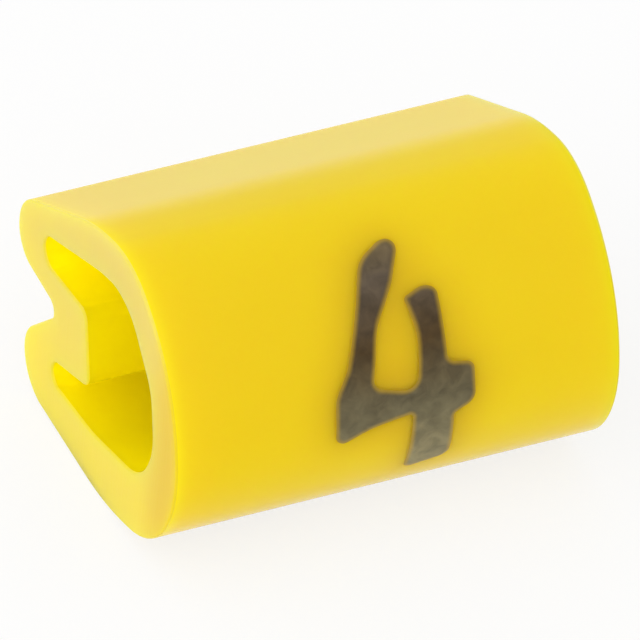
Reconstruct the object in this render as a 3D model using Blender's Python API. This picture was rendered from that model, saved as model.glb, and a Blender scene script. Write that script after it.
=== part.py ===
"""A slide-on cable marker: one short length of soft PVC extrusion, cut square at both ends.

The section is a closed tube with a bowed front wall, which carries the figure, and two lobes at the
back. Between the lobes the wall is folded inwards: outside it leaves a V notch, and inside it ends
in a blunt nose, which presses the cable against the front wall.

The section is drawn flat, as two outlines with rounded corners. Depth runs from the front of the
bow to the back of the lobes, and height runs up from the middle of the body. The two outlines are
extruded along the marker's length, and the marker is then laid as it comes to rest on a table.

World frame: X along the marker, the figure's wall towards -Y, Z up, the origin on the table under
the middle of the marker. Units are metres.
"""

from math import atan2, ceil, cos, pi, radians, sin, tan

import bmesh
import bpy
from mathutils import Matrix, Vector

MM = 0.001

# The whole marker
LENGTH = 5.0 * MM
BODY_DEPTH = 3.77 * MM
BODY_HEIGHT = 3.24 * MM
CUT_EDGE_RADIUS = 0.03 * MM

# The walls
FRONT_WALL = 0.57 * MM
TOP_WALL = 0.50 * MM
BASE_WALL = 0.71 * MM
TOP_LOBE_WALL = 0.63 * MM
BASE_LOBE_WALL = 0.70 * MM

# The outside of the front wall, a bow between two round shoulders
TOP_SHOULDER_SETBACK = 0.92 * MM
TOP_SHOULDER_RADIUS = 1.07 * MM
BASE_SHOULDER_SETBACK = 0.73 * MM
BASE_SHOULDER_RADIUS = 1.25 * MM
TOP_BOW_HEIGHT = 0.64 * MM
TOP_BOW_RADIUS = 2.05 * MM
BASE_BOW_HEIGHT = 0.79 * MM
BASE_BOW_RADIUS = 1.45 * MM

# The outside of the top and base walls, which slope to the back from a low crown
TOP_CROWN_SETBACK = 1.84 * MM
TOP_CROWN_RADIUS = 2.54 * MM
BASE_CROWN_SETBACK = 1.91 * MM
BASE_CROWN_RADIUS = 3.10 * MM

# The two lobes at the back: their outer corners, and the lips of the notch
LOBE_HEIGHT = 1.08 * MM
LOBE_RADIUS = 0.51 * MM
NOTCH_HALF_MOUTH = 0.46 * MM
NOTCH_LIP_RADIUS = 0.42 * MM
NOTCH_DEPTH = 0.80 * MM
NOTCH_FLOOR = 0.15 * MM
NOTCH_RISE = 0.11 * MM
NOTCH_FLOOR_RADIUS = 0.12 * MM

# The inside of the front wall
TOP_INNER_SHOULDER_SETBACK = 0.51 * MM
TOP_INNER_SHOULDER_RADIUS = 0.71 * MM
BASE_INNER_SHOULDER_SETBACK = 0.39 * MM
BASE_INNER_SHOULDER_RADIUS = 0.67 * MM
TOP_INNER_BOW_HEIGHT = 0.27 * MM
TOP_INNER_BOW_RADIUS = 0.61 * MM
BASE_INNER_BOW_HEIGHT = 0.43 * MM
BASE_INNER_BOW_RADIUS = 0.70 * MM

# The inside of the top and base walls, measured from the inside of the front wall
TOP_INNER_CROWN_SETBACK = 1.14 * MM
TOP_INNER_CROWN_RADIUS = 2.30 * MM
BASE_INNER_CROWN_SETBACK = 1.55 * MM
BASE_INNER_CROWN_RADIUS = 2.10 * MM

# The room for the cable, and the nose that grips it
CABLE_ROOM = 1.58 * MM
NOSE_TOP = 0.46 * MM
NOSE_BASE = 0.41 * MM
NOSE_RADIUS = 0.15 * MM

# The two arms of the cavity, which run back on either side of the nose
TOP_ARM_OUTER = 0.93 * MM
TOP_ARM_INNER = 0.60 * MM
TOP_ARM_RADIUS = 0.20 * MM
BASE_ARM_OUTER = 0.76 * MM
BASE_ARM_INNER = 0.49 * MM
BASE_ARM_RADIUS = 0.15 * MM

# How finely the round stretches are cut into facets
ARC_STEP = radians(5)
CUT_EDGE_RINGS = 1

PVC_YELLOW = (0.84, 0.62, 0.012, 1.0)
PVC_ROUGHNESS = 0.34


def outer_corners():
    """The outside of the section as (depth, height, radius), from the top crown round the front."""
    top = BODY_HEIGHT / 2
    base = -BODY_HEIGHT / 2
    notch_floor = BODY_DEPTH - NOTCH_DEPTH
    return [
        (TOP_CROWN_SETBACK, top, TOP_CROWN_RADIUS),
        (TOP_SHOULDER_SETBACK, top, TOP_SHOULDER_RADIUS),
        (0.0, TOP_BOW_HEIGHT, TOP_BOW_RADIUS),
        (0.0, -BASE_BOW_HEIGHT, BASE_BOW_RADIUS),
        (BASE_SHOULDER_SETBACK, base, BASE_SHOULDER_RADIUS),
        (BASE_CROWN_SETBACK, base, BASE_CROWN_RADIUS),
        (BODY_DEPTH, -LOBE_HEIGHT, LOBE_RADIUS),
        (BODY_DEPTH, -NOTCH_HALF_MOUTH, NOTCH_LIP_RADIUS),
        (notch_floor, NOTCH_RISE - NOTCH_FLOOR / 2, NOTCH_FLOOR_RADIUS),
        (notch_floor, NOTCH_RISE + NOTCH_FLOOR / 2, NOTCH_FLOOR_RADIUS),
        (BODY_DEPTH, NOTCH_HALF_MOUTH, NOTCH_LIP_RADIUS),
        (BODY_DEPTH, LOBE_HEIGHT, LOBE_RADIUS),
    ]


def cavity_corners():
    """The cavity as (depth, height, radius), in the same order: front wall, base arm, nose, top arm."""
    ceiling = BODY_HEIGHT / 2 - TOP_WALL
    floor = BASE_WALL - BODY_HEIGHT / 2
    nose_face = FRONT_WALL + CABLE_ROOM
    top_arm_end = BODY_DEPTH - TOP_LOBE_WALL
    base_arm_end = BODY_DEPTH - BASE_LOBE_WALL
    return [
        (FRONT_WALL + TOP_INNER_CROWN_SETBACK, ceiling, TOP_INNER_CROWN_RADIUS),
        (FRONT_WALL + TOP_INNER_SHOULDER_SETBACK, ceiling, TOP_INNER_SHOULDER_RADIUS),
        (FRONT_WALL, TOP_INNER_BOW_HEIGHT, TOP_INNER_BOW_RADIUS),
        (FRONT_WALL, -BASE_INNER_BOW_HEIGHT, BASE_INNER_BOW_RADIUS),
        (FRONT_WALL + BASE_INNER_SHOULDER_SETBACK, floor, BASE_INNER_SHOULDER_RADIUS),
        (FRONT_WALL + BASE_INNER_CROWN_SETBACK, floor, BASE_INNER_CROWN_RADIUS),
        (base_arm_end, -BASE_ARM_OUTER, BASE_ARM_RADIUS),
        (base_arm_end, -BASE_ARM_INNER, BASE_ARM_RADIUS),
        (nose_face, -NOSE_BASE, NOSE_RADIUS),
        (nose_face, NOSE_TOP, NOSE_RADIUS),
        (top_arm_end, TOP_ARM_INNER, TOP_ARM_RADIUS),
        (top_arm_end, TOP_ARM_OUTER, TOP_ARM_RADIUS),
    ]


def rounded(corners):
    """The closed outline through the corners, with an arc at each that meets both sides without a kink.

    An arc takes its own radius where its two sides leave room for it. Where the arcs at the two ends
    of a side would overlap, both shrink until they meet.
    """
    points = [Vector(corner[:2]) for corner in corners]
    count = len(points)
    sides = [points[(i + 1) % count] - points[i] for i in range(count)]
    turns = [sides[i - 1].angle_signed(sides[i]) * -1 for i in range(count)]
    reaches = [corner[2] * tan(abs(turn) / 2) for corner, turn in zip(corners, turns)]
    spare = [sides[i].length / (reaches[i] + reaches[(i + 1) % count]) for i in range(count)]
    outline = []
    for i, (corner, turn) in enumerate(zip(corners, turns)):
        shrink = min(1.0, spare[i - 1], spare[i])
        start = points[i] - sides[i - 1].normalized() * reaches[i] * shrink
        to_centre = sides[i - 1].orthogonal().normalized() * corner[2] * shrink
        if turn < 0:
            to_centre.negate()
        steps = max(2, ceil(abs(turn) / ARC_STEP))
        for step in range(steps + 1):
            swing = Matrix.Rotation(turn * step / steps, 2)
            outline.append(start + to_centre - swing @ to_centre)
    return without_doubles(outline)


def without_doubles(outline):
    """The outline without the points where two arcs meet end to end."""
    closest = 1e-7
    return [point for i, point in enumerate(outline) if (point - outline[i - 1]).length > closest]


def area_and_moment(outline):
    """Twice the area inside a closed outline, and six times its first moment."""
    area = 0.0
    moment = Vector((0.0, 0.0))
    for i, point in enumerate(outline):
        slice_area = outline[i - 1].cross(point)
        area += slice_area
        moment += slice_area * (outline[i - 1] + point)
    return area, moment


def resting_slope(outer, cavity):
    """The slope of the base facet that lies flat on the table when the marker is at rest.

    A facet carries the marker if the whole section lies above its line, and the section's centre of
    area is above the facet itself. Of several such facets, the one nearest to level is taken.
    """
    outer_area, outer_moment = area_and_moment(outer)
    cavity_area, cavity_moment = area_and_moment(cavity)
    centre = (outer_moment - cavity_moment) / (3 * (outer_area - cavity_area))
    slopes = []
    for i, end in enumerate(outer):
        start = outer[i - 1]
        along = (end - start).normalized()
        lowest = min(along.cross(point - start) for point in outer)
        foot = along.dot(centre - start)
        if along.x > 0 and lowest > -1e-9 and 0 <= foot <= (end - start).length:
            slopes.append(atan2(along.y, along.x))
    return min(slopes, key=abs)


def pvc_material():
    material = bpy.data.materials.new("yellow_pvc")
    material.use_nodes = True
    shader = material.node_tree.nodes["Principled BSDF"]
    shader.inputs["Base Color"].default_value = PVC_YELLOW
    shader.inputs["Roughness"].default_value = PVC_ROUGHNESS
    shader.inputs["Metallic"].default_value = 0.0
    return material


def extruded_section(outlines):
    """A mesh of the section between the outlines, extruded evenly to both sides of its plane.

    The curve's bevel rounds the cut edges. It would stand proud of the outline by its own depth, so
    the offset draws the outline in by as much.
    """
    curve = bpy.data.curves.new("section", "CURVE")
    curve.dimensions = "2D"
    curve.fill_mode = "BOTH"
    curve.extrude = LENGTH / 2 - CUT_EDGE_RADIUS
    curve.bevel_depth = CUT_EDGE_RADIUS
    curve.bevel_resolution = CUT_EDGE_RINGS
    curve.offset = -CUT_EDGE_RADIUS
    for outline in outlines:
        spline = curve.splines.new("POLY")
        spline.points.add(len(outline) - 1)
        spline.use_cyclic_u = True
        for spot, point in zip(spline.points, outline):
            spot.co = (point.x, point.y, 0.0, 1.0)
    drawn = bpy.data.objects.new("section", curve)
    bpy.context.scene.collection.objects.link(drawn)
    bpy.context.view_layer.update()
    evaluated = drawn.evaluated_get(bpy.context.evaluated_depsgraph_get())
    mesh = bpy.data.meshes.new_from_object(evaluated)
    bpy.data.objects.remove(drawn)
    bpy.data.curves.remove(curve)
    return mesh


def weld(mesh):
    """Joins the caps to the walls, which the curve leaves as separate sheets."""
    closest = 1e-7
    solid = bmesh.new()
    solid.from_mesh(mesh)
    bmesh.ops.remove_doubles(solid, verts=solid.verts, dist=closest)
    bmesh.ops.recalc_face_normals(solid, faces=solid.faces)
    solid.to_mesh(mesh)
    solid.free()


def laid_down(outer, cavity):
    """The place of the section's frame in the world: depth to +Y, height to +Z, length along X."""
    upright = Matrix(((0, 0, 1, 0), (1, 0, 0, 0), (0, 1, 0, 0), (0, 0, 0, 1)))
    rolled = Matrix.Rotation(-resting_slope(outer, cavity), 4, "X") @ upright
    spots = [rolled @ point.to_3d() for point in outer]
    back_to_front = max(spot.y for spot in spots) + min(spot.y for spot in spots)
    lowest = min(spot.z for spot in spots)
    return Matrix.Translation((0.0, -back_to_front / 2, -lowest)) @ rolled


def make_sleeve():
    outer = rounded(outer_corners())
    cavity = rounded(cavity_corners())
    mesh = extruded_section([outer, cavity])
    weld(mesh)
    mesh.name = "marker_sleeve"
    mesh.materials.append(pvc_material())
    mesh.shade_smooth()
    mesh.set_sharp_from_angle(angle=pi / 6)
    sleeve = bpy.data.objects.new("marker_sleeve", mesh)
    sleeve.matrix_world = laid_down(outer, cavity)
    bpy.context.scene.collection.objects.link(sleeve)


for leftover in list(bpy.data.objects):
    bpy.data.objects.remove(leftover)

make_sleeve()
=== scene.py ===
"""A slide-on cable marker of soft yellow PVC with a printed figure 4, dressed for its picture.

World frame, as in the solid: X along the marker, the figure's wall towards -Y, Z up, metres.
"""

from math import ceil, cos, exp, pi, radians, sin, tan

import bmesh
import bpy
from mathutils import Matrix, Vector
from mathutils.kdtree import KDTree


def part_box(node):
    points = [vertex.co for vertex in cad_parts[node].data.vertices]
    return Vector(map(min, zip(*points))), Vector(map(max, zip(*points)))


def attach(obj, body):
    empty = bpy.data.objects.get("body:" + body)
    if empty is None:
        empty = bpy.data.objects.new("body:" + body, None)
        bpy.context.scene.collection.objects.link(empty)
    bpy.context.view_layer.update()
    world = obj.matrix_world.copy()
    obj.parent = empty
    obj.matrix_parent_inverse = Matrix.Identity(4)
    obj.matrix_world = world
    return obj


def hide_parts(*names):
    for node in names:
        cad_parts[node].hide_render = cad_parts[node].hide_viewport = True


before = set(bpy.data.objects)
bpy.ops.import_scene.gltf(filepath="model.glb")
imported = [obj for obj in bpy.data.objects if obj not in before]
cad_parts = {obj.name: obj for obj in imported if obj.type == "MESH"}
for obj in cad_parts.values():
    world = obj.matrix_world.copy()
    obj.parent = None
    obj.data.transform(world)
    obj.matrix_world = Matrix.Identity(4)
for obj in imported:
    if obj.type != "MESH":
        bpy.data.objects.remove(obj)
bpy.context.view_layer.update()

# The sleeve
# One short length of soft PVC tube, extruded through a die and cut off with a blade at both ends.
# At the back its wall is folded inwards into a nose, which holds the cable against the front wall.
# The skin is smooth from the die, and the cut faces are duller and show the blade's fine marks.

MM = 0.001
CUT_EDGE_RADIUS = 0.025 * MM
REST_SLOPE = radians(14.17)
ARC_STEP = radians(2.5)
SIDE_STEP = 0.06 * MM
WALL_ROWS = 6
EDGE_STEPS = 4
LENGTH_STEPS = 40
CUT_WAVINESS = 0.006 * MM
CUT_WAVE_SEED = 3.0

# Points that lie at least this far across the wall are the bore's
BORE_SHARE = 0.99

# The section, in the solid's own sizes: a fit to the photo's edges gave them, rounded to 0.01 mm
BODY_DEPTH = 3.77 * MM
BODY_HEIGHT = 3.24 * MM

# The walls
FRONT_WALL = 0.57 * MM
TOP_WALL = 0.50 * MM
BASE_WALL = 0.71 * MM
TOP_LOBE_WALL = 0.63 * MM
BASE_LOBE_WALL = 0.70 * MM

# The outside of the front wall, a bow between two round shoulders
TOP_SHOULDER_SETBACK = 0.92 * MM
TOP_SHOULDER_RADIUS = 1.07 * MM
BASE_SHOULDER_SETBACK = 0.73 * MM
BASE_SHOULDER_RADIUS = 1.25 * MM
TOP_BOW_HEIGHT = 0.64 * MM
TOP_BOW_RADIUS = 2.05 * MM
BASE_BOW_HEIGHT = 0.79 * MM
BASE_BOW_RADIUS = 1.45 * MM

# The outside of the top and base walls
TOP_CROWN_SETBACK = 1.84 * MM
TOP_CROWN_RADIUS = 2.54 * MM
BASE_CROWN_SETBACK = 1.91 * MM
BASE_CROWN_RADIUS = 3.10 * MM

# The two lobes at the back, and the notch between them
LOBE_HEIGHT = 1.08 * MM
LOBE_RADIUS = 0.51 * MM
NOTCH_HALF_MOUTH = 0.46 * MM
NOTCH_LIP_RADIUS = 0.42 * MM
NOTCH_DEPTH = 0.80 * MM
NOTCH_FLOOR = 0.15 * MM
NOTCH_RISE = 0.11 * MM
NOTCH_FLOOR_RADIUS = 0.12 * MM

# The inside of the front wall
TOP_INNER_SHOULDER_SETBACK = 0.51 * MM
TOP_INNER_SHOULDER_RADIUS = 0.71 * MM
BASE_INNER_SHOULDER_SETBACK = 0.39 * MM
BASE_INNER_SHOULDER_RADIUS = 0.67 * MM
TOP_INNER_BOW_HEIGHT = 0.27 * MM
TOP_INNER_BOW_RADIUS = 0.61 * MM
BASE_INNER_BOW_HEIGHT = 0.43 * MM
BASE_INNER_BOW_RADIUS = 0.70 * MM

# The inside of the top and base walls, set back from the inside of the front wall
TOP_INNER_CROWN_SETBACK = 1.14 * MM
TOP_INNER_CROWN_RADIUS = 2.30 * MM
BASE_INNER_CROWN_SETBACK = 1.55 * MM
BASE_INNER_CROWN_RADIUS = 2.10 * MM

# The room for the cable, the nose behind it, and the cavity's two arms beside the nose
CABLE_ROOM = 1.58 * MM
NOSE_TOP = 0.46 * MM
NOSE_BASE = 0.41 * MM
NOSE_RADIUS = 0.15 * MM
TOP_ARM_OUTER = 0.93 * MM
TOP_ARM_INNER = 0.60 * MM
TOP_ARM_RADIUS = 0.20 * MM
BASE_ARM_OUTER = 0.76 * MM
BASE_ARM_INNER = 0.49 * MM
BASE_ARM_RADIUS = 0.15 * MM


def skin_corners():
    """The outside of the section as (depth, height, radius), from the top crown round the front."""
    top = BODY_HEIGHT / 2
    base = -BODY_HEIGHT / 2
    notch_floor = BODY_DEPTH - NOTCH_DEPTH
    return [
        (TOP_CROWN_SETBACK, top, TOP_CROWN_RADIUS),
        (TOP_SHOULDER_SETBACK, top, TOP_SHOULDER_RADIUS),
        (0.0, TOP_BOW_HEIGHT, TOP_BOW_RADIUS),
        (0.0, -BASE_BOW_HEIGHT, BASE_BOW_RADIUS),
        (BASE_SHOULDER_SETBACK, base, BASE_SHOULDER_RADIUS),
        (BASE_CROWN_SETBACK, base, BASE_CROWN_RADIUS),
        (BODY_DEPTH, -LOBE_HEIGHT, LOBE_RADIUS),
        (BODY_DEPTH, -NOTCH_HALF_MOUTH, NOTCH_LIP_RADIUS),
        (notch_floor, NOTCH_RISE - NOTCH_FLOOR / 2, NOTCH_FLOOR_RADIUS),
        (notch_floor, NOTCH_RISE + NOTCH_FLOOR / 2, NOTCH_FLOOR_RADIUS),
        (BODY_DEPTH, NOTCH_HALF_MOUTH, NOTCH_LIP_RADIUS),
        (BODY_DEPTH, LOBE_HEIGHT, LOBE_RADIUS),
    ]


def cavity_corners():
    """The cavity as (depth, height, radius), in the same order: front wall, base arm, nose, top arm."""
    ceiling = BODY_HEIGHT / 2 - TOP_WALL
    floor = BASE_WALL - BODY_HEIGHT / 2
    nose_face = FRONT_WALL + CABLE_ROOM
    top_arm_end = BODY_DEPTH - TOP_LOBE_WALL
    base_arm_end = BODY_DEPTH - BASE_LOBE_WALL
    return [
        (FRONT_WALL + TOP_INNER_CROWN_SETBACK, ceiling, TOP_INNER_CROWN_RADIUS),
        (FRONT_WALL + TOP_INNER_SHOULDER_SETBACK, ceiling, TOP_INNER_SHOULDER_RADIUS),
        (FRONT_WALL, TOP_INNER_BOW_HEIGHT, TOP_INNER_BOW_RADIUS),
        (FRONT_WALL, -BASE_INNER_BOW_HEIGHT, BASE_INNER_BOW_RADIUS),
        (FRONT_WALL + BASE_INNER_SHOULDER_SETBACK, floor, BASE_INNER_SHOULDER_RADIUS),
        (FRONT_WALL + BASE_INNER_CROWN_SETBACK, floor, BASE_INNER_CROWN_RADIUS),
        (base_arm_end, -BASE_ARM_OUTER, BASE_ARM_RADIUS),
        (base_arm_end, -BASE_ARM_INNER, BASE_ARM_RADIUS),
        (nose_face, -NOSE_BASE, NOSE_RADIUS),
        (nose_face, NOSE_TOP, NOSE_RADIUS),
        (top_arm_end, TOP_ARM_INNER, TOP_ARM_RADIUS),
        (top_arm_end, TOP_ARM_OUTER, TOP_ARM_RADIUS),
    ]


def corner_arcs(corners):
    """The arc at each corner as (start, centre, heading, turn), shrunk where two would overlap."""
    count = len(corners)
    points = [Vector(corner[:2]) for corner in corners]
    sides = [points[(i + 1) % count] - points[i] for i in range(count)]
    turns = [-sides[i - 1].angle_signed(sides[i]) for i in range(count)]
    reaches = [corner[2] * tan(abs(turn) / 2) for corner, turn in zip(corners, turns)]
    spare = [sides[i].length / (reaches[i] + reaches[(i + 1) % count]) for i in range(count)]
    arcs = []
    for i, turn in enumerate(turns):
        shrink = min(1.0, spare[i - 1], spare[i])
        heading = sides[i - 1].normalized()
        start = points[i] - heading * reaches[i] * shrink
        to_centre = Vector((-heading.y, heading.x)) * corners[i][2] * shrink
        if turn < 0:
            to_centre.negate()
        arcs.append((start, start + to_centre, heading, turn))
    return arcs


def outline(arcs, arc_steps, side_steps):
    """Points round the arcs and the sides between them, each with the heading there."""
    stations = []
    for i, (start, centre, heading, turn) in enumerate(arcs):
        for step in range(arc_steps[i] + 1):
            swing = Matrix.Rotation(turn * step / arc_steps[i], 2)
            stations.append((centre + swing @ (start - centre), swing @ heading))
        leave, onward = stations[-1]
        arrive = arcs[(i + 1) % len(arcs)][0]
        for step in range(1, side_steps[i]):
            stations.append((leave.lerp(arrive, step / side_steps[i]), onward))
    return stations


def matched_outlines():
    """The skin's and the cavity's outline with as many points each, corner for corner."""
    skin = corner_arcs(skin_corners())
    cavity = corner_arcs(cavity_corners())
    count = len(skin)
    arc_steps = [ceil(max(abs(skin[i][3]), abs(cavity[i][3])) / ARC_STEP) for i in range(count)]
    side_steps = []
    for i in range(count):
        gaps = [(arcs[(i + 1) % count][0] - arcs[i][0]).length for arcs in (skin, cavity)]
        side_steps.append(ceil(max(gaps) / SIDE_STEP))
    return outline(skin, arc_steps, side_steps), outline(cavity, arc_steps, side_steps)


skin_line, cavity_line = matched_outlines()
lean = Matrix.Rotation(-REST_SLOPE, 2)
leant = [lean @ point for point, heading in skin_line]
marker_low, marker_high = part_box("marker_sleeve")
middle = (max(spot.x for spot in leant) + min(spot.x for spot in leant)) / 2
shift = Vector(((marker_low.y + marker_high.y) / 2 - middle, marker_low.z - min(spot.y for spot in leant)))


def laid(flat):
    """A point of the section, in the world at the marker's mid-length."""
    spot = lean @ flat + shift
    return Vector((0.0, spot.x, spot.y))


def wall_section():
    """The wall's cut face as a strip of quads.

    Each point holds how far across the wall it lies, and the way that a rounded edge draws it in.
    """
    strip = bmesh.new()
    set_in = strip.verts.layers.float_vector.new("set_in")
    across = strip.verts.layers.float.new("across")
    rows = []
    for (outer, outer_heading), (inner, inner_heading) in zip(skin_line, cavity_line):
        into_outer = lean @ Vector((-outer_heading.y, outer_heading.x))
        into_inner = lean @ Vector((inner_heading.y, -inner_heading.x))
        row = []
        for step in range(WALL_ROWS + 1):
            share = step / WALL_ROWS
            vert = strip.verts.new(laid(outer.lerp(inner, share)))
            inward = into_outer.lerp(into_inner, share)
            vert[set_in] = (0.0, inward.x, inward.y)
            vert[across] = share
            row.append(vert)
        rows.append(row)
    for here, ahead in zip(rows, rows[1:] + rows[:1]):
        for step in range(WALL_ROWS):
            strip.faces.new((here[step], ahead[step], ahead[step + 1], here[step + 1]))
    closest = 1e-8
    bmesh.ops.remove_doubles(strip, verts=strip.verts, dist=closest)
    mesh = bpy.data.meshes.new("wall_section")
    strip.to_mesh(mesh)
    strip.free()
    return mesh


def wire(tree, kind, feeds, **settings):
    """Adds a node. feeds gives its inputs, by name or number, a value or another node's output."""
    made = tree.nodes.new(kind)
    for setting, value in settings.items():
        setattr(made, setting, value)
    for socket, feed in feeds.items():
        if isinstance(feed, bpy.types.NodeSocket):
            tree.links.new(feed, made.inputs[socket])
        else:
            made.inputs[socket].default_value = feed
    return made


def calculate(tree, operation, *values):
    return wire(tree, "ShaderNodeMath", dict(enumerate(values)), operation=operation).outputs[0]


def calculate_vector(tree, operation, *values, **named):
    feeds = dict(enumerate(values)) | named
    return wire(tree, "ShaderNodeVectorMath", feeds, operation=operation).outputs[0]


def remembered(tree, name, kind):
    return wire(tree, "GeometryNodeInputNamedAttribute", {"Name": name}, data_type=kind).outputs[0]


def blended(tree, share, first, second):
    """The colour between the first and the second, with that share of the second."""
    factor, colour_a, colour_b, colour_out = 0, 6, 7, 2
    feeds = {factor: share, colour_a: first, colour_b: second}
    return wire(tree, "ShaderNodeMix", feeds, data_type="RGBA").outputs[colour_out]


def new_tree(name, sizes):
    """A Geometry Nodes tree with a geometry in and out, and these named sizes."""
    tree = bpy.data.node_groups.new(name, "GeometryNodeTree")
    tree.is_modifier = True
    tree.interface.new_socket("Geometry", in_out="INPUT", socket_type="NodeSocketGeometry")
    for size, kind in sizes.items():
        tree.interface.new_socket(size, in_out="INPUT", socket_type=kind)
    tree.interface.new_socket("Geometry", in_out="OUTPUT", socket_type="NodeSocketGeometry")
    return tree, tree.nodes.new("NodeGroupInput").outputs


def finished(name, data, tree, values):
    """Runs the tree on the data, and gives the result as a plain mesh object at the origin."""
    blank = bpy.data.objects.new(name, data)
    bpy.context.scene.collection.objects.link(blank)
    modifier = blank.modifiers.new(tree.name, "NODES")
    modifier.node_group = tree
    for item in tree.interface.items_tree:
        if item.in_out == "INPUT" and item.name in values:
            modifier[item.identifier] = values[item.name]
    blank.update_tag()
    graph = bpy.context.evaluated_depsgraph_get()
    mesh = bpy.data.meshes.new_from_object(blank.evaluated_get(graph), depsgraph=graph)
    blank.modifiers.remove(modifier)
    bpy.data.objects.remove(blank)
    mesh.name = name
    piece = bpy.data.objects.new(name, mesh)
    bpy.context.scene.collection.objects.link(piece)
    return piece


def pull_and_cut_tree():
    """Pulls the wall's section along X, rounds both cut edges and keeps the section as the cut faces."""
    tree, given = new_tree(
        "pull_and_cut",
        {
            "Length": "NodeSocketFloat",
            "Edge Radius": "NodeSocketFloat",
            "Edge Steps": "NodeSocketInt",
            "Length Steps": "NodeSocketInt",
            "Waviness": "NodeSocketFloat",
            "Wave Seed": "NodeSocketFloat",
            "Skin": "NodeSocketMaterial",
            "Bore": "NodeSocketMaterial",
            "Cut Face": "NodeSocketMaterial",
        },
    )
    straight_end = calculate(tree, "ADD", given["Edge Steps"], given["Length Steps"])
    last_step = calculate(tree, "ADD", straight_end, given["Edge Steps"])
    half_straight = calculate(
        tree, "SUBTRACT", calculate(tree, "MULTIPLY", given["Length"], 0.5), given["Edge Radius"]
    )

    def quarter_turn(step, first, last):
        feeds = {"Value": step, "From Min": first, "From Max": last, "To Min": 0.0, "To Max": pi / 2}
        return wire(tree, "ShaderNodeMapRange", feeds).outputs["Result"]

    def set_at(geometry, step, chosen):
        """Sets the chosen points where the section stands after that many steps."""
        opening = quarter_turn(step, 0.0, given["Edge Steps"])
        closing = quarter_turn(step, straight_end, last_step)
        feeds = {
            "Value": step,
            "From Min": given["Edge Steps"],
            "From Max": straight_end,
            "To Min": calculate(tree, "MULTIPLY", half_straight, -1.0),
            "To Max": half_straight,
        }
        straight = wire(tree, "ShaderNodeMapRange", feeds).outputs["Result"]
        round_part = calculate(
            tree, "SUBTRACT", calculate(tree, "SINE", closing), calculate(tree, "COSINE", opening)
        )
        along = calculate(tree, "MULTIPLY_ADD", round_part, given["Edge Radius"], straight)
        shares = calculate(
            tree, "ADD", calculate(tree, "SINE", opening), calculate(tree, "COSINE", closing)
        )
        drawn_in = calculate(tree, "MULTIPLY", calculate(tree, "SUBTRACT", 2.0, shares), given["Edge Radius"])
        inward = calculate_vector(tree, "SCALE", remembered(tree, "set_in", "FLOAT_VECTOR"), Scale=drawn_in)
        place = calculate_vector(tree, "ADD", remembered(tree, "drawn", "FLOAT_VECTOR"), inward)
        moved = wire(tree, "ShaderNodeCombineXYZ", {"X": along}).outputs[0]
        feeds = {
            "Geometry": geometry,
            "Selection": chosen,
            "Position": calculate_vector(tree, "ADD", place, moved),
        }
        return wire(tree, "GeometryNodeSetPosition", feeds).outputs[0]

    def note(geometry, name, kind, domain, value):
        feeds = {"Geometry": geometry, "Name": name, "Value": value}
        settings = {"data_type": kind, "domain": domain}
        return wire(tree, "GeometryNodeStoreNamedAttribute", feeds, **settings).outputs[0]

    position = tree.nodes.new("GeometryNodeInputPosition").outputs[0]
    section = note(given["Geometry"], "drawn", "FLOAT_VECTOR", "POINT", position)
    section = note(section, "cut_face", "BOOLEAN", "FACE", True)
    start = set_at(section, 0.0, True)

    enter = tree.nodes.new("GeometryNodeRepeatInput")
    leave = tree.nodes.new("GeometryNodeRepeatOutput")
    enter.pair_with_output(leave)
    tree.links.new(last_step, enter.inputs["Iterations"])
    tree.links.new(start, enter.inputs["Geometry"])
    feeds = {
        "Mesh": enter.outputs["Geometry"],
        "Selection": remembered(tree, "cut_face", "BOOLEAN"),
        "Offset Scale": 0.0,
        "Individual": False,
    }
    pulled = wire(tree, "GeometryNodeExtrudeMesh", feeds, mode="FACES")
    step_now = calculate(tree, "ADD", enter.outputs["Iteration"], 1.0)
    grown = note(pulled.outputs["Mesh"], "cut_face", "BOOLEAN", "FACE", pulled.outputs["Top"])
    grown = set_at(grown, step_now, pulled.outputs["Top"])
    tree.links.new(grown, leave.inputs["Geometry"])

    first_cut = wire(tree, "GeometryNodeFlipFaces", {"Mesh": start}).outputs[0]
    joined = tree.nodes.new("GeometryNodeJoinGeometry")
    tree.links.new(first_cut, joined.inputs[0])
    tree.links.new(leave.outputs["Geometry"], joined.inputs[0])
    closest = 1e-8
    feeds = {"Geometry": joined.outputs[0], "Distance": closest}
    closed = wire(tree, "GeometryNodeMergeByDistance", feeds).outputs[0]

    # The blade leaves the cut faces very slightly uneven
    reach = calculate(
        tree, "ABSOLUTE", wire(tree, "ShaderNodeSeparateXYZ", {"Vector": position}).outputs["X"]
    )
    feeds = {
        "Value": reach,
        "From Min": calculate(tree, "SUBTRACT", half_straight, given["Edge Radius"]),
        "From Max": half_straight,
    }
    at_cut = wire(tree, "ShaderNodeMapRange", feeds, interpolation_type="SMOOTHSTEP").outputs["Result"]
    feeds = {"Vector": position, "W": given["Wave Seed"], "Scale": 700.0, "Detail": 1.0}
    wave = wire(tree, "ShaderNodeTexNoise", feeds, noise_dimensions="4D").outputs[0]
    swing = calculate(tree, "MULTIPLY", calculate(tree, "SUBTRACT", wave, 0.5), given["Waviness"])
    feeds = {"X": calculate(tree, "MULTIPLY", swing, at_cut)}
    feeds = {"Geometry": closed, "Offset": wire(tree, "ShaderNodeCombineXYZ", feeds).outputs[0]}
    cut = wire(tree, "GeometryNodeSetPosition", feeds).outputs[0]

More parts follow.
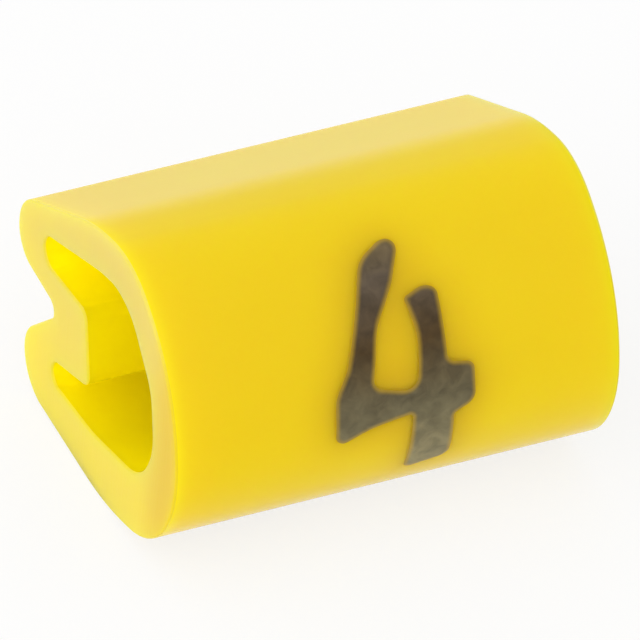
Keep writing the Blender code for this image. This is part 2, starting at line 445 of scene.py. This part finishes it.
    smooth = wire(tree, "GeometryNodeSetShadeSmooth", {"Geometry": cut}).outputs[0]
    real = wire(tree, "GeometryNodeRealizeInstances", {"Geometry": smooth}).outputs[0]
    skinned = wire(tree, "GeometryNodeSetMaterial", {"Geometry": real, "Material": given["Skin"]}).outputs[0]
    bore_side = calculate(tree, "GREATER_THAN", remembered(tree, "across", "FLOAT"), BORE_SHARE)
    feeds = {"Geometry": skinned, "Selection": bore_side, "Material": given["Bore"]}
    lined = wire(tree, "GeometryNodeSetMaterial", feeds).outputs[0]
    feeds = {
        "Geometry": lined,
        "Selection": calculate(tree, "GREATER_THAN", reach, half_straight),
        "Material": given["Cut Face"],
    }
    done = wire(tree, "GeometryNodeSetMaterial", feeds).outputs[0]
    tree.links.new(done, tree.nodes.new("NodeGroupOutput").inputs[0])
    return tree


SKIN_COLOURS = (0.90, 0.68, 0.007, 1.0), (0.88, 0.64, 0.006, 1.0)
# Painted shade: the deeper yellow of the skin beside the ink
SKIN_INK_SHADE = (0.64, 0.31, 0.008, 1.0)
# Painted shade: the bore's darker copy of the skin's yellow
BORE_SHADED_COLOURS = (0.71, 0.57, 0.002, 1.0), (0.69, 0.55, 0.002, 1.0)
CUT_COLOURS = (0.865, 0.695, 0.028, 1.0), (0.845, 0.675, 0.025, 1.0)
# Painted light and painted shade on the cut faces: paler towards the top wall, deeper yellow towards the
# front wall
CUT_PAINTED_LIGHT = (0.74, 0.585, 0.10, 1.0)
CUT_PAINTED_SHADE = (0.72, 0.49, 0.002, 1.0)

# The heights between which the cut face's painted light grows paler towards the top wall, and the places
# along Y where painted shade deepens its yellow towards the front wall
PAINTED_LIGHT_LOW = 0.2 * MM
PAINTED_LIGHT_HIGH = 3.1 * MM
PAINTED_LIGHT_PATCHINESS = 0.8
FRONT_SHADE_STARTS = -1.1 * MM
FRONT_SHADE_ENDS = -1.75 * MM
FRONT_SHADE_SHARE = 0.85

# How far the blade's marks lean, and the share of their fineness that they keep lengthwise
BLADE_SLANT = radians(24)
BLADE_STRETCH = 0.06


def soft_pvc(name, colours, roughness, ior, reach):
    """A material with soft PVC's clouded colour and depth, and what is needed to finish it."""
    material = bpy.data.materials.new(name)
    material.use_nodes = True
    tree = material.node_tree
    shader = tree.nodes["Principled BSDF"]
    shader.inputs["Roughness"].default_value = roughness
    shader.inputs["IOR"].default_value = ior
    shader.inputs["Subsurface Weight"].default_value = 1.0
    shader.inputs["Subsurface Radius"].default_value = (1.0, 1.0, 0.10)
    shader.inputs["Subsurface Scale"].default_value = reach
    place = tree.nodes.new("ShaderNodeTexCoord").outputs["Object"]
    feeds = {"Vector": place, "Scale": 420.0, "Detail": 3.0, "Roughness": 0.55}
    clouds = wire(tree, "ShaderNodeTexNoise", feeds).outputs[0]
    colour = blended(tree, clouds, colours[1], colours[0])
    tree.links.new(colour, shader.inputs["Base Color"])
    return material, tree, shader, place, colour


def die_lines(tree, shader, place):
    """Faint lines that the die drew along the tube, and the plastic's own fine unevenness."""
    drawn_out = wire(tree, "ShaderNodeMapping", {"Vector": place, "Scale": (0.02, 1.0, 1.0)}).outputs[0]
    feeds = {"Vector": drawn_out, "Scale": 9000.0, "Detail": 2.0}
    lines = wire(tree, "ShaderNodeTexNoise", feeds).outputs[0]
    feeds = {"Vector": place, "Scale": 16000.0, "Detail": 3.0}
    grain = wire(tree, "ShaderNodeTexNoise", feeds).outputs[0]
    feeds = {"Height": lines, "Strength": 0.15, "Distance": 0.002 * MM}
    bump = wire(tree, "ShaderNodeBump", feeds).outputs[0]
    feeds = {"Height": grain, "Normal": bump, "Strength": 0.3, "Distance": 0.002 * MM}
    bump = wire(tree, "ShaderNodeBump", feeds).outputs[0]
    tree.links.new(bump, shader.inputs["Normal"])


def skin_material():
    material, tree, shader, place, colour = soft_pvc(
        "pvc_skin", SKIN_COLOURS, roughness=0.21, ior=1.25, reach=0.45 * MM
    )
    # Painted shade: the skin round the figure is painted a deeper yellow, for the light that the ink keeps
    # out of the translucent wall
    ink_shade = wire(tree, "ShaderNodeAttribute", {}, attribute_name="near_ink").outputs["Fac"]
    tree.links.new(blended(tree, ink_shade, colour, SKIN_INK_SHADE), shader.inputs["Base Color"])
    die_lines(tree, shader, place)
    return material


def shaded_bore_material():
    """The bore glows with the light that soaks in through the thin wall; its colours are painted shade, a
    darker copy of the skin's yellow that holds that glow down.
    """
    material, tree, shader, place, colour = soft_pvc(
        "pvc_bore_shaded", BORE_SHADED_COLOURS, roughness=0.21, ior=1.25, reach=2.5 * MM
    )
    shader.subsurface_method = "BURLEY"
    die_lines(tree, shader, place)
    return material


def cut_face_material():
    material, tree, shader, place, colour = soft_pvc(
        "pvc_cut_face", CUT_COLOURS, roughness=0.36, ior=1.34, reach=0.5 * MM
    )
    # Painted light and shade: the face is painted paler towards the top wall, in patches, and a deeper yellow
    # towards the thin front wall
    feeds = {"Vector": place, "Scale": 900.0, "Detail": 2.0}
    light_patches = wire(tree, "ShaderNodeTexNoise", feeds).outputs[0]
    spot = wire(tree, "ShaderNodeSeparateXYZ", {"Vector": place}).outputs
    feeds = {"Value": spot["Z"], "From Min": PAINTED_LIGHT_LOW, "From Max": PAINTED_LIGHT_HIGH}
    rise = wire(tree, "ShaderNodeMapRange", feeds).outputs["Result"]
    uneven = calculate(tree, "SUBTRACT", light_patches, 0.5)
    share = calculate(tree, "MULTIPLY_ADD", uneven, PAINTED_LIGHT_PATCHINESS, rise)
    share = wire(tree, "ShaderNodeClamp", {"Value": share}).outputs[0]
    lightened = blended(tree, share, colour, CUT_PAINTED_LIGHT)
    feeds = {"Value": spot["Y"], "From Min": FRONT_SHADE_STARTS, "From Max": FRONT_SHADE_ENDS, "To Max": FRONT_SHADE_SHARE}
    front = wire(tree, "ShaderNodeMapRange", feeds, interpolation_type="SMOOTHSTEP").outputs["Result"]
    tree.links.new(blended(tree, front, lightened, CUT_PAINTED_SHADE), shader.inputs["Base Color"])
    feeds = {"Vector": place, "Rotation": (BLADE_SLANT, 0.0, 0.0), "Scale": (1.0, 1.0, BLADE_STRETCH)}
    across = wire(tree, "ShaderNodeMapping", feeds).outputs[0]
    feeds = {"Vector": across, "Scale": 26000.0, "Detail": 3.0}
    marks = wire(tree, "ShaderNodeTexNoise", feeds).outputs[0]
    feeds = {"Height": marks, "Strength": 0.5, "Distance": 0.003 * MM}
    tree.links.new(wire(tree, "ShaderNodeBump", feeds).outputs[0], shader.inputs["Normal"])
    return material


sleeve = finished(
    "extruded_sleeve",
    wall_section(),
    pull_and_cut_tree(),
    {
        "Length": marker_high.x - marker_low.x,
        "Edge Radius": CUT_EDGE_RADIUS,
        "Edge Steps": EDGE_STEPS,
        "Length Steps": LENGTH_STEPS,
        "Waviness": CUT_WAVINESS,
        "Wave Seed": CUT_WAVE_SEED,
        "Skin": skin_material(),
        "Bore": shaded_bore_material(),
        "Cut Face": cut_face_material(),
    },
)
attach(sleeve, "root")
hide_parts("marker_sleeve")

# The figure
# A plain 4, printed as a thin film of dark ink that follows the bow of the front wall.
# It is grey in the head and the bar, dark brown in the upright strokes, and palest in the foot.

INK_STEP = 0.045 * MM
INK_LIFT = 0.001 * MM
INK_THICKNESS = 0.008 * MM
INK_EDGE = 0.045 * MM
FIGURE_ARC_STEP = radians(10)
RIM_RINGS = 3

# Edges of the film that bend by more than this, in radians, stay sharp
SHARP_BEND = 1.0

# The line that the figure follows takes in the skin up to this depth
FRONT_WALL_REACH = 1.3 * MM

# How far the painted shade round the ink spreads, and how many times as far it is counted
INK_SHADE_REACH = 0.25 * MM
INK_SHADE_CUTOFF = 2.5

# The film's top and underside both lie within reach, and only one of them counts
ONE_SIDE = 0.5

# Each corner of the figure, set off a millimetre ruler laid over the photo.
# In mm: along the marker from its middle, up the wall from the bow, radius.
FIGURE_CORNERS = (
    (0.29, 1.50, 0.11),  # front corner of the head
    (0.27, 1.36, 0.20),  # front of the long stroke, under the head
    (0.12, 1.05, 0.20),  # swell in the long stroke's front
    (-0.16, 0.62, 0.60),  # bend in the long stroke's front
    (-0.28, 0.01, 0.12),  # long stroke meets the bar
    (0.22, -0.13, 0.15),  # bar meets the short stroke
    (0.28, 0.48, 0.80),  # back of the short stroke
    (0.20, 0.87, 0.05),  # back corner of the short stroke's top
    (0.44, 0.96, 0.20),  # crest of the short stroke's top
    (0.58, 0.90, 0.11),  # front corner of the short stroke's top
    (0.57, 0.12, 0.10),  # short stroke meets the bar's right end
    (0.86, 0.06, 0.10),  # upper corner of the bar's right end
    (0.86, -0.38, 0.16),  # lower corner of the bar's right end
    (0.62, -0.49, 0.06),  # bar's right end meets the foot
    (0.64, -1.11, 0.13),  # front corner of the foot
    (0.14, -1.20, 0.09),  # back corner of the foot
    (0.16, -0.37, 0.05),  # foot meets the bar
    (-0.30, -0.43, 1.00),  # lower side of the bar
    (-0.71, -0.58, 0.10),  # lower corner of the bar's left end
    (-0.70, -0.01, 0.35),  # upper corner of the bar's left end
    (-0.54, 0.27, 0.20),  # bar's left end meets the long stroke
    (-0.17, 1.34, 0.35),  # back of the head
    (0.12, 1.51, 0.22),  # top of the head
)


def flat_figure():
    """The figure as a flat sheet: narrow rings round its rim, and a fine grid inside them."""
    arcs = corner_arcs([tuple(size * MM for size in corner) for corner in FIGURE_CORNERS])
    arc_steps = [ceil(abs(turn) / FIGURE_ARC_STEP) for begin, centre, heading, turn in arcs]
    gaps = [(after[0] - before[0]).length for before, after in zip(arcs, arcs[1:] + arcs[:1])]
    side_steps = [ceil(gap / INK_STEP) for gap in gaps]
    sheet = bmesh.new()
    for point, heading in outline(arcs, arc_steps, side_steps):
        sheet.verts.new((*point, 0.0))
    sheet.faces.new(sheet.verts)
    closest = 1e-6
    bmesh.ops.remove_doubles(sheet, verts=sheet.verts, dist=closest)
    (face,) = sheet.faces
    face.normal_update()
    if face.normal.z < 0:
        face.normal_flip()
    width = INK_EDGE / RIM_RINGS
    for ring in range(RIM_RINGS):
        bmesh.ops.inset_region(sheet, faces=[face], thickness=width, use_boundary=True, use_even_offset=True)
    inside = [face] + list(face.edges) + list(face.verts)
    on_the_cut = 1e-8
    for axis in range(2):
        low = min(vert.co[axis] for vert in sheet.verts)
        high = max(vert.co[axis] for vert in sheet.verts)
        across = Vector((0.0, 0.0, 0.0))
        across[axis] = 1.0
        for step in range(1, ceil((high - low) / INK_STEP)):
            cut_at = across * (low + step * INK_STEP)
            cut = bmesh.ops.bisect_plane(
                sheet, geom=inside, dist=on_the_cut, plane_co=cut_at, plane_no=across
            )
            inside = cut["geom"]
    mesh = bpy.data.meshes.new("flat_figure")
    sheet.to_mesh(mesh)
    sheet.free()
    return mesh


def front_wall_line():
    """The skin's line from the base shoulder to the top shoulder, and its length up to the bow."""
    front = [point for point, heading in skin_line if point.x < FRONT_WALL_REACH]
    front.sort(key=lambda point: point.y)
    curve = bpy.data.curves.new("front_wall_line", "CURVE")
    curve.dimensions = "3D"
    spline = curve.splines.new("POLY")
    spline.points.add(len(front) - 1)
    for knot, point in zip(spline.points, front):
        knot.co = (*laid(point), 1.0)
    line = bpy.data.objects.new("front_wall_line", curve)
    bpy.context.scene.collection.objects.link(line)
    below = [point for point in front if point.y < 0]
    up_to_bow = sum((after - before).length for before, after in zip(below, below[1:]))
    return line, up_to_bow - below[-1].y


def print_on_wall_tree():
    """Bends the flat figure on to the wall, and gives it an ink film's thickness that fades at the rim."""
    tree, given = new_tree(
        "print_on_wall",
        {
            "Wall Line": "NodeSocketObject",
            "Length To Bow": "NodeSocketFloat",
            "Lift": "NodeSocketFloat",
            "Thickness": "NodeSocketFloat",
            "Edge Width": "NodeSocketFloat",
            "Ink": "NodeSocketMaterial",
        },
    )
    position = tree.nodes.new("GeometryNodeInputPosition").outputs[0]
    faces_beside = tree.nodes.new("GeometryNodeInputMeshEdgeNeighbors").outputs[0]
    whole_a, whole_b = 2, 3
    feeds = {whole_a: faces_beside, whole_b: 1}
    inner = wire(tree, "FunctionNodeCompare", feeds, data_type="INT", operation="NOT_EQUAL").outputs[0]
    feeds = {"Geometry": given["Geometry"], "Selection": inner}
    rim = wire(tree, "GeometryNodeDeleteGeometry", feeds, domain="EDGE").outputs[0]
    feeds = {"Geometry": rim, "Sample Position": position}
    nearest = wire(tree, "GeometryNodeProximity", feeds, target_element="EDGES")
    feeds = {"Geometry": given["Geometry"], "Name": "from_edge", "Value": nearest.outputs["Distance"]}
    film = wire(tree, "GeometryNodeStoreNamedAttribute", feeds, data_type="FLOAT", domain="POINT").outputs[0]
    flat = wire(tree, "ShaderNodeSeparateXYZ", {"Vector": position}).outputs
    feeds = {"Geometry": film, "Name": "up_wall", "Value": flat["Y"]}
    film = wire(tree, "GeometryNodeStoreNamedAttribute", feeds, data_type="FLOAT", domain="POINT").outputs[0]

    line = wire(tree, "GeometryNodeObjectInfo", {"Object": given["Wall Line"]}).outputs["Geometry"]
    length = calculate(tree, "ADD", flat["Y"], given["Length To Bow"])
    on_wall = wire(tree, "GeometryNodeSampleCurve", {"Curves": line, "Length": length}, mode="LENGTH")
    along = wire(tree, "ShaderNodeCombineXYZ", {"X": flat["X"]}).outputs[0]
    seat = calculate_vector(tree, "ADD", on_wall.outputs["Position"], along)
    outward = calculate_vector(tree, "CROSS_PRODUCT", (1.0, 0.0, 0.0), on_wall.outputs["Tangent"])
    feeds = {
        "Value": remembered(tree, "from_edge", "FLOAT"),
        "From Max": given["Edge Width"],
        "To Max": given["Thickness"],
    }
    thick = wire(tree, "ShaderNodeMapRange", feeds, interpolation_type="SMOOTHSTEP").outputs["Result"]

    def standing_off(amount):
        lifted = calculate_vector(tree, "SCALE", outward, Scale=amount)
        feeds = {"Geometry": film, "Position": calculate_vector(tree, "ADD", seat, lifted)}
        return wire(tree, "GeometryNodeSetPosition", feeds).outputs[0]

    top = standing_off(calculate(tree, "ADD", given["Lift"], thick))
    under = wire(tree, "GeometryNodeFlipFaces", {"Mesh": standing_off(given["Lift"])}).outputs[0]
    joined = tree.nodes.new("GeometryNodeJoinGeometry")
    tree.links.new(top, joined.inputs[0])
    tree.links.new(under, joined.inputs[0])
    closest = 1e-9
    feeds = {"Geometry": joined.outputs[0], "Distance": closest}
    closed = wire(tree, "GeometryNodeMergeByDistance", feeds).outputs[0]
    smooth = wire(tree, "GeometryNodeSetShadeSmooth", {"Geometry": closed}).outputs[0]
    bend = tree.nodes.new("GeometryNodeInputMeshEdgeAngle").outputs["Unsigned Angle"]
    sharp = calculate(tree, "GREATER_THAN", bend, SHARP_BEND)
    feeds = {"Geometry": smooth, "Selection": sharp, "Shade Smooth": False}
    creased = wire(tree, "GeometryNodeSetShadeSmooth", feeds, domain="EDGE").outputs[0]
    real = wire(tree, "GeometryNodeRealizeInstances", {"Geometry": creased}).outputs[0]
    inked = wire(tree, "GeometryNodeSetMaterial", {"Geometry": real, "Material": given["Ink"]}).outputs[0]
    tree.links.new(inked, tree.nodes.new("NodeGroupOutput").inputs[0])
    return tree


# How high on the figure each tone of the ink lies, from its foot at 0 to its head at 1, and the tone
INK_TONES = (
    (0.07, (0.270, 0.232, 0.118, 1.0)),  # foot
    (0.34, (0.140, 0.118, 0.060, 1.0)),  # bar
    (0.60, (0.070, 0.040, 0.011, 1.0)),  # upright strokes
    (0.84, (0.100, 0.074, 0.048, 1.0)),  # head
    (0.95, (0.145, 0.105, 0.052, 1.0)),  # tip of the head
)
FOOT_END = -1.25 * MM
HEAD_END = 1.55 * MM
TONE_UNEVENNESS = 0.18
STREAK_GAIN = 1.2
STREAK_LEAST = 0.4

# The yellow that shows through the rim, and the depths into the film between which it fades
RIM_COLOUR = (0.50, 0.31, 0.010, 1.0)
RIM_FADE_STARTS = -0.025 * MM
RIM_FADE_ENDS = 0.062 * MM
RIM_UNEVENNESS = 0.03 * MM


def ink_material():
    material = bpy.data.materials.new("printing_ink")
    material.use_nodes = True
    tree = material.node_tree
    shader = tree.nodes["Principled BSDF"]
    shader.inputs["Roughness"].default_value = 0.45
    shader.inputs["IOR"].default_value = 1.30
    place = tree.nodes.new("ShaderNodeTexCoord").outputs["Object"]
    depth = wire(tree, "ShaderNodeAttribute", {}, attribute_name="from_edge").outputs["Fac"]
    up_wall = wire(tree, "ShaderNodeAttribute", {}, attribute_name="up_wall").outputs["Fac"]
    feeds = {"Vector": place, "Scale": 2200.0, "Detail": 4.0, "Roughness": 0.6}
    mottle = wire(tree, "ShaderNodeTexNoise", feeds).outputs[0]
    uneven = calculate(tree, "SUBTRACT", mottle, 0.5)
    feeds = {"Value": up_wall, "From Min": FOOT_END, "From Max": HEAD_END}
    rise = wire(tree, "ShaderNodeMapRange", feeds).outputs["Result"]
    rise = calculate(tree, "MULTIPLY_ADD", uneven, TONE_UNEVENNESS, rise)
    tone = wire(tree, "ShaderNodeValToRGB", {"Fac": rise})
    stops = tone.color_ramp.elements
    stops[0].position, stops[0].color = INK_TONES[0]
    stops[1].position, stops[1].color = INK_TONES[-1]
    for height, shade in INK_TONES[1:-1]:
        stops.new(height).color = shade
    feeds = {"Vector": place, "Scale": 6000.0, "Detail": 3.0, "Distortion": 0.6}
    streaks = wire(tree, "ShaderNodeTexNoise", feeds).outputs[0]
    strength = calculate(tree, "MULTIPLY_ADD", streaks, STREAK_GAIN, STREAK_LEAST)
    streaked = calculate_vector(tree, "SCALE", tone.outputs[0], Scale=strength)
    # Towards its rim the film thins out, and the yellow shows through it
    depth = calculate(tree, "MULTIPLY_ADD", uneven, RIM_UNEVENNESS, depth)
    feeds = {"Value": depth, "From Min": RIM_FADE_STARTS, "From Max": RIM_FADE_ENDS}
    cover = wire(tree, "ShaderNodeMapRange", feeds, interpolation_type="SMOOTHSTEP").outputs["Result"]
    tree.links.new(blended(tree, cover, RIM_COLOUR, streaked), shader.inputs["Base Color"])
    return material


def paint_shade_round_ink(figure):
    """Notes at each point of the sleeve how much of its neighbourhood the ink covers, for the painted shade
    beside the ink.
    """
    spots = KDTree(len(figure.data.polygons))
    for patch in figure.data.polygons:
        spots.insert(patch.center, patch.index)
    spots.balance()
    ink_shade = sleeve.data.attributes.new("near_ink", "FLOAT", "POINT")
    for vert in sleeve.data.vertices:
        cover = 0.0
        for centre, index, distance in spots.find_range(vert.co, INK_SHADE_CUTOFF * INK_SHADE_REACH):
            share = exp(-0.5 * (distance / INK_SHADE_REACH) ** 2) / (2 * pi * INK_SHADE_REACH ** 2)
            cover += ONE_SIDE * share * figure.data.polygons[index].area
        ink_shade.data[vert.index].value = cover


wall_line, up_to_bow = front_wall_line()
figure = finished(
    "printed_figure",
    flat_figure(),
    print_on_wall_tree(),
    {
        "Wall Line": wall_line,
        "Length To Bow": up_to_bow,
        "Lift": INK_LIFT,
        "Thickness": INK_THICKNESS,
        "Edge Width": INK_EDGE,
        "Ink": ink_material(),
    },
)
bpy.data.objects.remove(wall_line)
# Painted shade on the skin round the ink
paint_shade_round_ink(figure)
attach(figure, "root")

# The studio
# A white table top under the marker, and a pale surround that is brighter on the left.
# One soft box lights the marker from the left and above.

FLOOR_HALF_SIDE = 150 * MM
TABLE_COLOUR = (0.97, 0.97, 0.97, 1.0)

# How much of the table is plain white where it is seen, and not where it lights the marker
TABLE_WHITENING = 0.80

# The surround's brightness, and what each axis adds to it
SURROUND = 0.87
SURROUND_SLOPE = Vector((-0.38, 0.0, 0.10))


def make_floor():
    sheet = bmesh.new()
    bmesh.ops.create_grid(sheet, x_segments=1, y_segments=1, size=FLOOR_HALF_SIDE)
    mesh = bpy.data.meshes.new("table_top")
    sheet.to_mesh(mesh)
    sheet.free()
    floor = bpy.data.objects.new("table_top", mesh)
    bpy.context.scene.collection.objects.link(floor)
    material = bpy.data.materials.new("white_table")
    material.use_nodes = True
    tree = material.node_tree
    tree.nodes.remove(tree.nodes["Principled BSDF"])
    paper = wire(tree, "ShaderNodeBsdfDiffuse", {"Color": TABLE_COLOUR}).outputs[0]
    white = wire(tree, "ShaderNodeEmission", {"Strength": 1.0}).outputs[0]
    path = tree.nodes.new("ShaderNodeLightPath").outputs
    seen = calculate(tree, "MAXIMUM", path["Is Camera Ray"], path["Is Transmission Ray"])
    seen = calculate(tree, "MAXIMUM", seen, path["Is Glossy Ray"])
    whitened = calculate(tree, "MULTIPLY", seen, TABLE_WHITENING)
    shown = wire(tree, "ShaderNodeMixShader", {0: whitened, 1: paper, 2: white}).outputs[0]
    tree.links.new(shown, tree.nodes["Material Output"].inputs["Surface"])
    mesh.materials.append(material)


def make_surround():
    world = bpy.data.worlds.new("surround")
    world.use_nodes = True
    bpy.context.scene.world = world
    tree = world.node_tree
    background = tree.nodes["Background"]
    background.inputs["Color"].default_value = (1.0, 1.0, 1.0, 1.0)
    path = tree.nodes.new("ShaderNodeLightPath").outputs
    seen = calculate(tree, "MAXIMUM", path["Is Camera Ray"], path["Is Transmission Ray"])
    toward = tree.nodes.new("ShaderNodeTexCoord").outputs["Generated"]
    slope = wire(tree, "ShaderNodeVectorMath", {0: toward, 1: SURROUND_SLOPE}, operation="DOT_PRODUCT")
    around = calculate(tree, "ADD", slope.outputs["Value"], SURROUND)
    feeds = {"Value": seen, "To Min": around, "To Max": 1.0}
    strength = wire(tree, "ShaderNodeMapRange", feeds).outputs["Result"]
    tree.links.new(strength, background.inputs["Strength"])


def soft_box(name, toward, distance, side, brightness):
    """A square soft box in that direction from the marker, aimed at it. Brightness 1 looks white."""
    lamp = bpy.data.lights.new(name, "AREA")
    lamp.shape = "SQUARE"
    lamp.size = side
    lamp.energy = brightness * pi * side * side
    box = bpy.data.objects.new(name, lamp)
    bpy.context.scene.collection.objects.link(box)
    out = Vector(toward).normalized()
    box.location = out * distance
    box.rotation_euler = out.to_track_quat("Z", "Y").to_euler()


make_floor()
make_surround()
soft_box(
    "left_soft_box", toward=(-1.0, -0.35, 0.6), distance=130 * MM, side=110 * MM, brightness=0.45
)

# The camera
# It looks down on the marker from its left through a long lens, and is rolled a little.
# Its angles, scale and aim come from a fit to the photo's edges.

AZIMUTH = radians(-28.44)
ELEVATION = radians(40.10)
ROLL = radians(5.54)
CAMERA_DISTANCE = 200 * MM
PHOTO_SIDE_PIXELS = 640
PIXELS_PER_MM = 97.743
VIEW_SIDE = PHOTO_SIDE_PIXELS / PIXELS_PER_MM * MM
AIM_POINT = Vector((0.0, 0.0, 1.64)) * MM
AIM_RIGHT_PIXELS = 1.708
AIM_UP_PIXELS = -18.841
AIM_RIGHT = AIM_RIGHT_PIXELS / PIXELS_PER_MM * MM
AIM_UP = AIM_UP_PIXELS / PIXELS_PER_MM * MM
CLIP_REACH = 10


def make_camera():
    lens = bpy.data.cameras.new("camera")
    lens.sensor_width = 36.0
    lens.lens = lens.sensor_width * CAMERA_DISTANCE / VIEW_SIDE
    lens.clip_start = CAMERA_DISTANCE / CLIP_REACH
    lens.clip_end = CAMERA_DISTANCE * CLIP_REACH
    camera = bpy.data.objects.new("camera", lens)
    bpy.context.scene.collection.objects.link(camera)
    back = Vector((sin(AZIMUTH) * cos(ELEVATION), -cos(AZIMUTH) * cos(ELEVATION), sin(ELEVATION)))
    turn = back.to_track_quat("Z", "Y").to_matrix().to_4x4() @ Matrix.Rotation(ROLL, 4, "Z")
    aim = AIM_POINT + turn.to_3x3() @ Vector((AIM_RIGHT, AIM_UP, 0.0))
    camera.matrix_world = Matrix.Translation(aim + back * CAMERA_DISTANCE) @ turn
    bpy.context.scene.camera = camera
    bpy.context.scene.view_settings.view_transform = "Standard"


make_camera()
